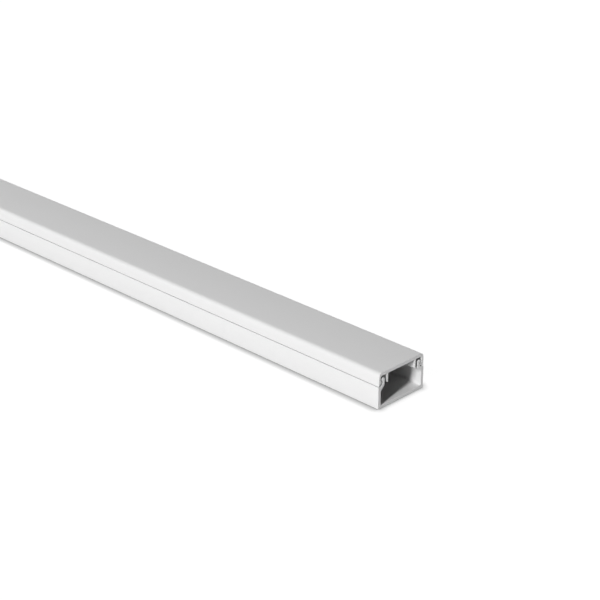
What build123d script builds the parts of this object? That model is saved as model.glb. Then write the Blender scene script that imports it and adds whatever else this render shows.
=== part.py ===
# Mini cable trunking: one stock length of white rigid PVC channel with its clip-on lid.
# X runs along the length, Y across it and Z up. The origin is the middle of the back face,
# the flat face that is fixed to a wall and that lies on the floor here. Sizes are in mm.
import os
from math import cos, radians, sin, tan

from build123d import *

# Stock size
length = 1000.0
width = 24.0
height = 14.0

# Walls of the channel
floor_thickness = 1.2
wall_thickness = 1.3
back_corner_radius = 0.25
floor_corner_radius = 0.6

# Lid, a little narrower than the channel on both sides
lid_set_in = 0.2
lid_thickness = 1.3
lid_corner_radius = 1.65
skirt_depth = 5.3
skirt_thickness = 0.9
skirt_corner_radius = 0.8
foot_angle = 44.0
foot_edge_radius = 0.1

# Nib at the skirt's foot, which hooks under the bead of the channel's lip
nib_reach = 0.8
nib_top_angle = 20.0
nib_tip_radius = 0.12

# Guide leg inside the lid, one along each side
leg_gap = 1.2
leg_thickness = 0.7
leg_tip_thickness = 0.5
leg_depth = 3.4
leg_tip_radius = 0.2
leg_root_radius = 0.25

# Ledge on top of the channel's wall, under the lid's foot
seam_gap = 0.14
ledge_width = 1.35
ledge_angle = 8.0
ledge_edge_radius = 0.1

# Lip of the channel: slanting web, upright neck and round bead
nib_clearance = 0.4
lip_thickness = 0.85
bead_radius = 0.7
bead_lift = 0.78
web_thickness = 1.3
web_angle = 45.0
web_bend_radius = 0.8
neck_radius = 0.25

# Heights and offsets of the lid that follow from the sizes above
half_width = width / 2
lid_half_width = half_width - lid_set_in
under_lid = height - lid_thickness
foot_height = height - skirt_depth
skirt_inner = lid_half_width - skirt_thickness
nib_tip = skirt_inner - nib_reach
nib_height = foot_height + (lid_half_width - nib_tip) * tan(radians(foot_angle))
nib_root = nib_height + nib_reach * tan(radians(nib_top_angle))

# Heights and offsets of the channel, which leave the clearances around the lid
wall_inner = half_width - wall_thickness
ledge_height = foot_height - seam_gap
ledge_inner = half_width - ledge_width
web_outer_foot = ledge_height + ledge_width * tan(radians(ledge_angle))
neck_outer = nib_tip - nib_clearance
neck_foot = web_outer_foot + (ledge_inner - neck_outer) * tan(radians(web_angle))
lip_inner = neck_outer - lip_thickness
bead_centre = lip_inner + bead_radius
bead_height = nib_height + bead_lift
leg_outer = lip_inner - leg_gap
leg_inner = leg_outer - leg_thickness
leg_end = under_lid - leg_depth

# Inner face of the web, at its thickness from the corner where the neck stands on it
web_y = neck_outer - web_thickness * sin(radians(web_angle))
web_z = neck_foot - web_thickness * cos(radians(web_angle))
web_top = web_z + (web_y - lip_inner) * tan(radians(web_angle))
web_foot = web_z - (wall_inner - web_y) * tan(radians(web_angle))


def corner(sketch, y, z):
    """The sketch's vertex that lies nearest to a point of the half section."""
    return sketch.vertices().sort_by_distance((y, z))[0]


# Channel that is fixed to the wall: floor, two walls, and the lips that hold the lid
with BuildPart() as base_channel:
    with BuildSketch(Plane.YZ) as channel_section:
        with BuildLine():
            Polyline(
                (0, 0),
                (half_width, 0),
                (half_width, ledge_height),
                (ledge_inner, web_outer_foot),
                (neck_outer, neck_foot),
                (neck_outer, bead_height),
                (lip_inner, bead_height),
                (lip_inner, web_top),
                (wall_inner, web_foot),
                (wall_inner, floor_thickness),
                (0, floor_thickness),
                close=True,
            )
        make_face()
        fillet(corner(channel_section, half_width, 0), back_corner_radius)
        fillet(corner(channel_section, half_width, ledge_height), ledge_edge_radius)
        fillet(corner(channel_section, ledge_inner, web_outer_foot), neck_radius)
        fillet(corner(channel_section, neck_outer, neck_foot), neck_radius)
        fillet(corner(channel_section, lip_inner, web_top), web_bend_radius)
        fillet(corner(channel_section, wall_inner, web_foot), web_bend_radius)
        fillet(corner(channel_section, wall_inner, floor_thickness), floor_corner_radius)
        with Locations((bead_centre, bead_height)):
            Circle(bead_radius)
        mirror(about=Plane.YZ)
    extrude(amount=length / 2, both=True)

# Lid that clips over the lips: top plate, two skirts with their nibs, and two guide legs
with BuildPart() as snap_lid:
    with BuildSketch(Plane.YZ) as lid_section:
        leg_taper = (leg_thickness - leg_tip_thickness) / 2
        with BuildLine():
            Polyline(
                (0, height),
                (lid_half_width, height),
                (lid_half_width, foot_height),
                (nib_tip, nib_height),
                (skirt_inner, nib_root),
                (skirt_inner, under_lid),
                (leg_outer, under_lid),
                (leg_outer - leg_taper, leg_end),
                (leg_inner + leg_taper, leg_end),
                (leg_inner, under_lid),
                (0, under_lid),
                close=True,
            )
        make_face()
        fillet(corner(lid_section, lid_half_width, height), lid_corner_radius)
        fillet(corner(lid_section, lid_half_width, foot_height), foot_edge_radius)
        fillet(corner(lid_section, nib_tip, nib_height), nib_tip_radius)
        fillet(corner(lid_section, skirt_inner, under_lid), skirt_corner_radius)
        fillet(corner(lid_section, leg_outer, under_lid), leg_root_radius)
        fillet(corner(lid_section, leg_inner, under_lid), leg_root_radius)
        fillet(corner(lid_section, leg_outer - leg_taper, leg_end), leg_tip_radius)
        fillet(corner(lid_section, leg_inner + leg_taper, leg_end), leg_tip_radius)
        mirror(about=Plane.YZ)
    extrude(amount=length / 2, both=True)

base_channel.part.label = "base_channel"
snap_lid.part.label = "snap_lid"

os.makedirs("parts", exist_ok=True)
export_step(base_channel.part, "parts/base_channel.step")
export_step(snap_lid.part, "parts/snap_lid.step")
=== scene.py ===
from math import atan2, cos, pi, radians, sin, sqrt, tan

import bpy
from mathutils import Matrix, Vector


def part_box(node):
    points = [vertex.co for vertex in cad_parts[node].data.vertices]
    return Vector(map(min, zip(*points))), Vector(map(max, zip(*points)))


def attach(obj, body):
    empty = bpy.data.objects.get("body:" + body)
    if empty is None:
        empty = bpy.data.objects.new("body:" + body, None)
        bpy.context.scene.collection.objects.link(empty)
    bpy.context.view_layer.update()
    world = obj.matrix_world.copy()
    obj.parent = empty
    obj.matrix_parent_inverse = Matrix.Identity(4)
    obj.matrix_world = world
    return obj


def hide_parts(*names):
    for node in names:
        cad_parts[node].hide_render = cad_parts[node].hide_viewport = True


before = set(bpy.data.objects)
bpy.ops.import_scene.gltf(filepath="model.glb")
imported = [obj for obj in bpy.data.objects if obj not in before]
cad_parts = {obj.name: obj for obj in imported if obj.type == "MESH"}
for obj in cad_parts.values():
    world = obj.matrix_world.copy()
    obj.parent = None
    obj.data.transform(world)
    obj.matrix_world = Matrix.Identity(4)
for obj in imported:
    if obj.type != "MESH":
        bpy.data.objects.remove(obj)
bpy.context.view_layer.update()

mm = 0.001
channelLow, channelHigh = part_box("base_channel")
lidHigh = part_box("snap_lid")[1]
nearEnd = channelHigh.x
farEnd = channelLow.x
frontWall = channelLow.y
length = nearEnd - farEnd


# Camera

# The photo's view of the near end, from one perspective fit of its edges. The corner is the
# front bottom one of the near end, which falls on its own pixel. Angles are in degrees, the
# sensor is in mm and the rest is in pixels or metres.
viewOfPhoto = {
    "imageSide": 600,
    "focalPixels": 1544.2,
    "turn": 44.7,
    "downTilt": 24.65,
    "cornerColumn": 378.0,
    "cornerRow": 409.8,
    "cornerDepth": 539.4 * mm,
    "sensorWidth": 36,
    "clipStart": 0.01,
    "clipEnd": 50,
}


def addCamera(view):
    corner = Vector((nearEnd, frontWall, 0))
    turn, tilt = radians(view["turn"]), radians(view["downTilt"])
    forward = Vector((-sin(turn) * cos(tilt), cos(turn) * cos(tilt), -sin(tilt)))
    right = Vector((cos(turn), sin(turn), 0))
    up = right.cross(forward)
    middle = view["imageSide"] / 2
    perPixel = view["cornerDepth"] / view["focalPixels"]
    across = (view["cornerColumn"] - middle) * perPixel
    down = (view["cornerRow"] - middle) * perPixel
    eye = corner - forward * view["cornerDepth"] - right * across + up * down
    bpy.ops.object.camera_add(location=eye, rotation=(pi / 2 - tilt, 0, turn))
    camera = bpy.context.object
    camera.name = "photoCamera"
    camera.data.sensor_width = view["sensorWidth"]
    camera.data.lens = view["focalPixels"] * view["sensorWidth"] / view["imageSide"]
    camera.data.clip_start = view["clipStart"]
    camera.data.clip_end = view["clipEnd"]
    bpy.context.scene.camera = camera


addCamera(viewOfPhoto)
print("camera placed")


# Materials


# From an sRGB hex colour to the linear one that a shader socket takes, by the standard's curve
def linear(hexColour):
    parts = [int(hexColour[i : i + 2], 16) / 255 for i in (1, 3, 5)]
    return (*[p / 12.92 if p <= 0.04045 else ((p + 0.055) / 1.055) ** 2.4 for p in parts], 1)


# Settings name the node's own properties or its sockets, and links say what feeds a socket
def addNode(tree, kind, settings=None, links=None):
    node = tree.nodes.new(kind)
    for key, value in (settings or {}).items():
        if isinstance(key, str) and hasattr(node, key):
            setattr(node, key, value)
        else:
            node.inputs[key].default_value = value
    for key, source in (links or {}).items():
        tree.links.new(source, node.inputs[key])
    return node


def newMaterial(name):
    material = bpy.data.materials.new(name)
    material.use_nodes = True
    material.node_tree.nodes.clear()
    return material


# What every surface of rigid PVC has here: its index of refraction, and the patches, per
# metre, over which its roughness wanders
rigidPvc = {
    "ior": 1.53,
    "patchScale": 60.0,
    "patchDetail": 3.0,
}


# A rigid PVC surface. Each of its bump layers is a noise with its scale per metre along each
# axis, its detail and its height in mm, and the roughness wanders between two values.
def plastic(name, look):
    material = newMaterial(name)
    tree = material.node_tree
    place = addNode(tree, "ShaderNodeTexCoord").outputs["Object"]
    surface = None
    for layer in look["bumps"]:
        stretched = addNode(
            tree,
            "ShaderNodeMapping",
            {"Scale": layer["scale"]},
            {"Vector": place},
        )
        noise = addNode(
            tree,
            "ShaderNodeTexNoise",
            {"Scale": 1.0, "Detail": layer["detail"]},
            {"Vector": stretched.outputs["Vector"]},
        )
        bump = addNode(
            tree,
            "ShaderNodeBump",
            {"Distance": layer["height"] * mm},
            {"Height": noise.outputs["Fac"]},
        )
        if surface:
            tree.links.new(surface, bump.inputs["Normal"])
        surface = bump.outputs["Normal"]
    patches = addNode(
        tree,
        "ShaderNodeTexNoise",
        {"Scale": rigidPvc["patchScale"], "Detail": rigidPvc["patchDetail"]},
        {"Vector": place},
    )
    smoothest, dullest = look["roughness"]
    sheen = addNode(
        tree,
        "ShaderNodeMapRange",
        {"To Min": smoothest, "To Max": dullest},
        {"Value": patches.outputs["Fac"]},
    )
    shader = addNode(
        tree,
        "ShaderNodeBsdfPrincipled",
        {"Base Color": linear(look["colour"]), "IOR": rigidPvc["ior"]},
        {"Roughness": sheen.outputs["Result"], "Normal": surface},
    )
    addNode(tree, "ShaderNodeOutputMaterial", None, {"Surface": shader.outputs["BSDF"]})
    return material


# Extruded rigid PVC leaves the die smooth and satin: faint die lines run along the length,
# and the cooled walls are not quite flat, so a highlight along them wavers a little.
extrudedUpvc = plastic(
    "extrudedUpvc",
    {
        "colour": "#F0F0F0",
        "roughness": (0.34, 0.44),
        "bumps": [
            {"scale": (3, 900, 900), "detail": 2, "height": 0.004},
            {"scale": (8, 45, 45), "detail": 1, "height": 0.05},
        ],
    },
)

# A saw leaves the cut end dull, with fine marks across it. Real marks are 0.1 mm apart;
# they are drawn 0.3 mm apart, because finer ones don't show at this distance.
sawCutUpvc = plastic(
    "sawCutUpvc",
    {
        "colour": "#ECECEC",
        "roughness": (0.55, 0.7),
        "bumps": [
            {"scale": (10, 3000, 400), "detail": 2, "height": 0.012},
        ],
    },
)
print("materials made")


# Shapes

arcSteps = 6  # faces in each rounded corner of a section
rimWidth = 0.06  # mm, the chamfer round a cut end
sameSpot = 2e-6  # metres, how near a vertex lies to the place it is looked for at
mergeGap = 1e-6  # metres, how near two vertices are that become one
squareOn = 0.99  # a cut end's normal points along X by at least this much
smoothAngle = 25  # degrees, the widest edge that is shaded as part of a curve
selectModes = {"vertices": "VERT", "polygons": "FACE"}


# In edit mode: selects the vertices or faces that pass the test, and nothing else
def selectWhere(mesh, kind, test):
    bpy.ops.mesh.select_mode(type=selectModes[kind])
    bpy.ops.mesh.select_all(action="DESELECT")
    bpy.ops.object.mode_set(mode="OBJECT")
    for element in getattr(mesh, kind):
        element.select = test(element)
    bpy.ops.object.mode_set(mode="EDIT")


# Rounds the flat section's corner at (y, z), in mm, and its mirror image
def roundCorner(mesh, y, z, radius):
    def atCorner(vertex):
        return abs(abs(vertex.co.y) - y * mm) < sameSpot and abs(vertex.co.z - z * mm) < sameSpot

    selectWhere(mesh, "vertices", atCorner)
    corner = [v.index for v in mesh.vertices if v.select][0]
    arms = [
        mesh.vertices[sum(edge.vertices) - corner].co - mesh.vertices[corner].co
        for edge in mesh.edges
        if corner in edge.vertices
    ]
    turn = pi - arms[0].angle(arms[1])
    bpy.ops.mesh.bevel(
        affect="VERTICES",
        offset_type="ABSOLUTE",
        offset=radius * mm * tan(turn / 2),
        segments=arcSteps,
        clamp_overlap=False,
    )


# Draws on from one corner of the outline, which is the selected vertex, through the next ones
def drawThrough(corners):
    for (y, z, _), (nextY, nextZ, _) in zip(corners, corners[1:]):
        bpy.ops.mesh.extrude_vertices_move(
            TRANSFORM_OT_translate={"value": (0, (nextY - y) * mm, (nextZ - z) * mm)}
        )


# Gives one end the saw cut's finish and eases its rim by a narrow chamfer: the face is inset,
# and its old rim, at the ends of the long edges, moves inwards along the length
def cutEnd(piece, end):
    mesh = piece.data

    def onCut(face):
        return abs(face.center.x - end) < sameSpot and abs(face.normal.x) > squareOn

    selectWhere(mesh, "polygons", onCut)
    piece.active_material_index = mesh.materials.find(sawCutUpvc.name)
    bpy.ops.object.material_slot_assign()
    bpy.ops.mesh.inset(thickness=rimWidth * mm, depth=0)
    bpy.ops.object.mode_set(mode="OBJECT")
    rim = set()
    for edge in mesh.edges:
        start, finish = [mesh.vertices[index].co for index in edge.vertices]
        if abs(start.x - finish.x) > length / 2:
            rim.update(edge.vertices)
    bpy.ops.object.mode_set(mode="EDIT")
    selectWhere(mesh, "vertices", lambda v: v.index in rim and abs(v.co.x - end) < sameSpot)
    inward = -rimWidth * mm if end == nearEnd else rimWidth * mm
    bpy.ops.transform.translate(value=(inward, 0, 0))


# Pulls a section into the full length. Its half outline is (y, z, radius) corners in mm, and
# where it has a bead, that is spun at the outline's end, and a second outline goes on after it.
def extrusion(name, outline, bead=None, onward=()):
    bpy.ops.object.select_all(action="DESELECT")
    firstY, firstZ, _ = outline[0]
    bpy.ops.mesh.primitive_plane_add(size=mm, location=(farEnd, firstY * mm, firstZ * mm))
    piece = bpy.context.object
    piece.name = name
    piece.data.name = name
    bpy.ops.object.transform_apply(location=True, rotation=True, scale=True)
    bpy.ops.object.mode_set(mode="EDIT")
    bpy.ops.mesh.select_mode(type="VERT")
    bpy.ops.mesh.select_all(action="SELECT")
    bpy.ops.mesh.merge(type="CENTER")
    drawThrough(outline)
    if bead:
        # With no window, spin turns the other way, so its axis points back along X
        bpy.ops.mesh.spin(
            steps=bead["steps"],
            angle=bead["turn"],
            center=(farEnd, bead["y"] * mm, bead["z"] * mm),
            axis=(-1, 0, 0),
        )
        drawThrough(onward)
    bpy.ops.object.mode_set(mode="OBJECT")
    otherHalf = piece.modifiers.new("otherHalf", "MIRROR")
    otherHalf.use_axis = (False, True, False)
    otherHalf.merge_threshold = mergeGap
    bpy.ops.object.modifier_apply(modifier=otherHalf.name)
    bpy.ops.object.mode_set(mode="EDIT")
    bpy.ops.mesh.select_all(action="SELECT")
    bpy.ops.mesh.remove_doubles(threshold=mergeGap)
    bpy.ops.mesh.edge_face_add()
    for y, z, radius in [*outline, *onward]:
        if radius:
            roundCorner(piece.data, y, z, radius)
    bpy.ops.mesh.select_mode(type="FACE")
    bpy.ops.mesh.select_all(action="SELECT")
    bpy.ops.mesh.extrude_region_move(TRANSFORM_OT_translate={"value": (length, 0, 0)})
    bpy.ops.mesh.select_all(action="SELECT")
    bpy.ops.mesh.normals_make_consistent(inside=False)
    piece.data.materials.append(extrudedUpvc)
    piece.data.materials.append(sawCutUpvc)
    for end in (farEnd, nearEnd):
        cutEnd(piece, end)
    bpy.ops.mesh.select_all(action="SELECT")
    bpy.ops.mesh.normals_make_consistent(inside=False)
    bpy.ops.object.mode_set(mode="OBJECT")
    bpy.ops.object.shade_smooth_by_angle(angle=radians(smoothAngle))
    return piece


# Lid: a top plate, two skirts that end in a nib, and two guide legs. Sizes are in mm and
# degrees, and its width and height are those of the lid in model.glb.
lidSize = {
    "thickness": 1.3,
    "topRadius": 1.65,
    "skirtDepth": 5.3,
    "skirtThickness": 0.9,
    "skirtRadius": 0.8,
    "footAngle": 44,
    "footRadius": 0.1,
    "nibReach": 0.8,
    "nibTopAngle": 20,
    "nibRadius": 0.12,
    "nibRootRadius": 0.1,
    "legOuter": 7.65,
    "legThickness": 0.7,
    "legTipThickness": 0.5,
    "legDepth": 3.4,
    "legTipRadius": 0.2,
    "legRootRadius": 0.25,
}

side = lidHigh.y / mm
top = lidHigh.z / mm
under = top - lidSize["thickness"]
foot = top - lidSize["skirtDepth"]
skirt = side - lidSize["skirtThickness"]
nibTip = skirt - lidSize["nibReach"]
nibHeight = foot + (side - nibTip) * tan(radians(lidSize["footAngle"]))
nibRoot = nibHeight + lidSize["nibReach"] * tan(radians(lidSize["nibTopAngle"]))
legOuter = lidSize["legOuter"]
legInner = legOuter - lidSize["legThickness"]
legTaper = (lidSize["legThickness"] - lidSize["legTipThickness"]) / 2
legEnd = under - lidSize["legDepth"]

# Half of the section, from the middle of its top round to the middle underneath
lidOutline = [
    (0, top, 0),
    (side, top, lidSize["topRadius"]),
    (side, foot, lidSize["footRadius"]),
    (nibTip, nibHeight, lidSize["nibRadius"]),
    (skirt, nibRoot, lidSize["nibRootRadius"]),
    (skirt, under, lidSize["skirtRadius"]),
    (legOuter, under, lidSize["legRootRadius"]),
    (legOuter - legTaper, legEnd, lidSize["legTipRadius"]),
    (legInner + legTaper, legEnd, lidSize["legTipRadius"]),
    (legInner, under, lidSize["legRootRadius"]),
    (0, under, 0),
]

lid = extrusion("lidProfile", lidOutline)
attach(lid, "lid")
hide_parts("snap_lid")
print("lid built,", len(lid.data.polygons), "faces")


# Channel: a floor, two walls with a ledge on top, and on each wall a lip, which is a slanting
# web, an upright neck and a round bead. Sizes are in mm and degrees.
channelSize = {
    "floor": 1.2,
    "wall": 1.3,
    "backRadius": 0.25,
    "floorRadius": 0.6,
    "seamGap": 0.14,
    "ledgeWidth": 1.35,
    "ledgeAngle": 8,
    "ledgeRadius": 0.1,
    "neckRadius": 0.25,
    "nibClearance": 0.4,
    "lipThickness": 0.85,
    "beadRadius": 0.7,
    "beadLift": 0.78,
    "beadSteps": 20,
    "webThickness": 1.3,
    "webAngle": 45,
    "webRadius": 0.8,
}

outer = channelHigh.y / mm
inner = outer - channelSize["wall"]
ledge = foot - channelSize["seamGap"]
ledgeInner = outer - channelSize["ledgeWidth"]
webStart = ledge + channelSize["ledgeWidth"] * tan(radians(channelSize["ledgeAngle"]))
neck = nibTip - channelSize["nibClearance"]
lipInner = neck - channelSize["lipThickness"]

# The web's two faces lie parallel, its thickness apart
webAngle = radians(channelSize["webAngle"])
neckFoot = webStart + (ledgeInner - neck) * tan(webAngle)
webY = neck - channelSize["webThickness"] * sin(webAngle)
webZ = neckFoot - channelSize["webThickness"] * cos(webAngle)
webTop = webZ + (webY - lipInner) * tan(webAngle)
webFoot = webZ - (inner - webY) * tan(webAngle)

# The bead starts where the neck's outer face meets its circle, and ends level with its middle
# on the lip's inner face
beadY = lipInner + channelSize["beadRadius"]
beadZ = nibHeight + channelSize["beadLift"]
neckDrop = sqrt(channelSize["beadRadius"] ** 2 - (neck - beadY) ** 2)
bead = {
    "y": beadY,
    "z": beadZ,
    "turn": pi + atan2(neckDrop, neck - beadY),
    "steps": channelSize["beadSteps"],
}

# Half of the section, from the middle of its back round to the bead, and on to the middle of
# its floor
outerOutline = [
    (0, 0, 0),
    (outer, 0, channelSize["backRadius"]),
    (outer, ledge, channelSize["ledgeRadius"]),
    (ledgeInner, webStart, channelSize["neckRadius"]),
    (neck, neckFoot, channelSize["neckRadius"]),
    (neck, beadZ - neckDrop, 0),
]
innerOutline = [
    (lipInner, beadZ, 0),
    (lipInner, webTop, channelSize["webRadius"]),
    (inner, webFoot, channelSize["webRadius"]),
    (inner, channelSize["floor"], channelSize["floorRadius"]),
    (0, channelSize["floor"], 0),
]

channel = extrusion("channelProfile", outerOutline, bead, innerOutline)
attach(channel, "channel")
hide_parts("base_channel")
print("channel built,", len(channel.data.polygons), "faces")


# Floor and light


# 1 where the camera looks, also by reflection or through glass, and 0 for the light itself
def seenRays(tree):
    path = addNode(tree, "ShaderNodeLightPath")
    shown = path.outputs["Is Camera Ray"]
    for kind in ("Is Glossy Ray", "Is Transmission Ray"):
        either = addNode(
            tree,
            "ShaderNodeMath",
            {"operation": "MAXIMUM"},
            {0: shown, 1: path.outputs[kind]},
        )
        shown = either.outputs["Value"]
    return shown


# A pale sheet that runs past the view on all sides, in metres. The camera sees it just over
# white, with a painted shadow: ambient occlusion dims its glow into the narrow dark line where
# the trunking stands on it, with how far that reaches and how quickly it deepens.
floorSize = {
    "side": 12.0,
    "drop": 0.05 * mm,
    "colour": "#F2F2F2",
    "seenColour": "#666666",
    "glow": 0.975,
    # the painted shadow at the trunking's foot: how far it reaches, how quickly it deepens
    "paintedShadowReach": 3.8 * mm,
    "paintedShadowDepth": 1.5,
}


def addFloor(size):
    bpy.ops.mesh.primitive_plane_add(size=size["side"], location=(0, 0, -size["drop"]))
    floor = bpy.context.object
    floor.name = "studioFloor"
    material = newMaterial("paleBackgroundSheet")
    tree = material.node_tree
    sheet = addNode(tree, "ShaderNodeBsdfDiffuse", {"Color": linear(size["colour"])})
    seenSheet = addNode(tree, "ShaderNodeBsdfDiffuse", {"Color": linear(size["seenColour"])})
    # Painted shadow: ambient occlusion darkens the floor's glow near the trunking
    openness = addNode(tree, "ShaderNodeAmbientOcclusion", {"Distance": size["paintedShadowReach"]})
    paintedShadowFactor = addNode(
        tree,
        "ShaderNodeMath",
        {"operation": "POWER", 1: size["paintedShadowDepth"]},
        {0: openness.outputs["AO"]},
    )
    strength = addNode(
        tree,
        "ShaderNodeMath",
        {"operation": "MULTIPLY", 1: size["glow"]},
        {0: paintedShadowFactor.outputs["Value"]},
    )
    glow = addNode(
        tree,
        "ShaderNodeEmission",
        None,
        {"Strength": strength.outputs["Value"]},
    )
    lit = addNode(
        tree,
        "ShaderNodeAddShader",
        None,
        {0: seenSheet.outputs["BSDF"], 1: glow.outputs["Emission"]},
    )
    seen = addNode(
        tree,
        "ShaderNodeMixShader",
        None,
        {0: seenRays(tree), 1: sheet.outputs["BSDF"], 2: lit.outputs["Shader"]},
    )
    addNode(tree, "ShaderNodeOutputMaterial", None, {"Surface": seen.outputs["Shader"]})
    floor.data.materials.append(material)


addFloor(floorSize)

# Lamps: the compass turn from -Y towards +X and the height above the floor in degrees, the
# distance and the width and height of the lamp's face in metres, and the brightness that a
# white face turned to the lamp gets. So few bounces keep the inside of the trunking dark.
lampSetup = {
    "frontStrip": {
        "turn": 15,
        "height": 28,
        "distance": 4.0,
        "face": (0.25, 2.4),
        "bright": 0.897,
        "bounces": 1,
    },
    "backPanel": {
        "turn": 180,
        "height": 24,
        "distance": 4.0,
        "face": (1.0, 1.0),
        "bright": 0.225,
        "bounces": 1,
    },
    "endFill": {
        "turn": 90,
        "height": 4,
        "distance": 4.0,
        "face": (0.6, 0.6),
        "bright": 0.03,
        "bounces": 0,
    },
}
lampAim = Vector((nearEnd - 0.1, 0, 0))  # the middle of the stretch that the photo shows
worldLight = {
    "fill": 0.06,  # strength of its light on the object
    "seen": 1.0,  # strength where the camera sees it, which is white
}


def addLamp(name, lamp):
    turn, height = radians(lamp["turn"]), radians(lamp["height"])
    away = Vector((sin(turn) * cos(height), -cos(turn) * cos(height), sin(height)))
    bpy.ops.object.light_add(
        type="AREA",
        location=lampAim + away * lamp["distance"],
        rotation=away.to_track_quat("Z", "Y").to_euler(),
    )
    light = bpy.context.object
    light.name = name
    light.data.shape = "RECTANGLE"
    light.data.size, light.data.size_y = lamp["face"]
    light.data.cycles.max_bounces = lamp["bounces"]
    light.data.energy = lamp["bright"] * pi**2 * lamp["distance"] ** 2


for lampName, lamp in lampSetup.items():
    addLamp(lampName, lamp)


def setWorld(strengths):
    world = bpy.data.worlds.new("studioWorld")
    bpy.context.scene.world = world
    world.use_nodes = True
    tree = world.node_tree
    tree.nodes.clear()
    strength = addNode(
        tree,
        "ShaderNodeMapRange",
        {"To Min": strengths["fill"], "To Max": strengths["seen"]},
        {"Value": seenRays(tree)},
    )
    back = addNode(
        tree,
        "ShaderNodeBackground",
        {"Color": linear("#FFFFFF")},
        {"Strength": strength.outputs["Result"]},
    )
    addNode(tree, "ShaderNodeOutputWorld", None, {"Surface": back.outputs["Background"]})


setWorld(worldLight)
bpy.context.scene.view_settings.view_transform = "Standard"
print("light set")
